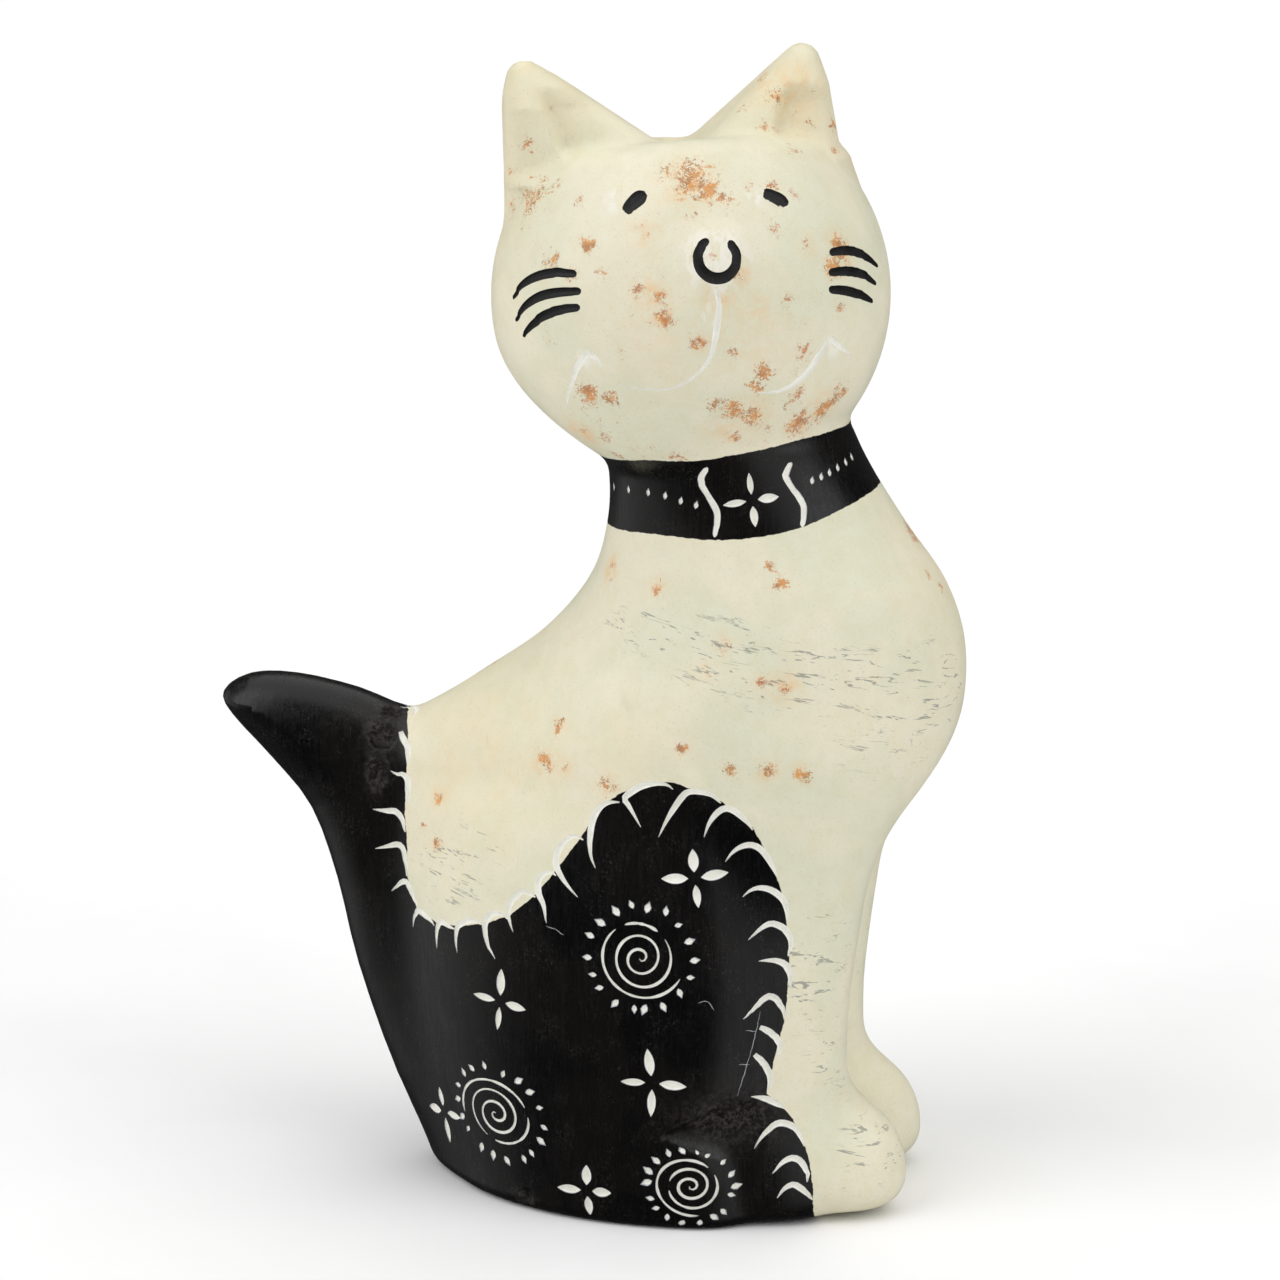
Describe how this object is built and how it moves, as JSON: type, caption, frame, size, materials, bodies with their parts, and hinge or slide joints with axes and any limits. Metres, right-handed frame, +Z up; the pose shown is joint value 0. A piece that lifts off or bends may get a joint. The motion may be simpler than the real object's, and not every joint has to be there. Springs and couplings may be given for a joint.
{
  "type": "soapstone cat figurine",
  "caption": "Seated cat carved from one block of soapstone, head turned to its side, pale face and chest, dark polished back and flank with scratched flowers and spirals.",
  "frame": {"origin": "middle of the footprint box on the flat underside", "axes": "+Z up, +X the way the chest and front paws point, -Y the side the face looks to"},
  "size_m": [0.132, 0.0616, 0.2003],
  "materials": {
    "soapstone": "polished pale soapstone, dyed black on the tail, the lower trunk and the collar, with pale scratched lines"
  },
  "bodies": {
    "root": {"carved_cat": "soapstone"}
  },
  "joints": []
}
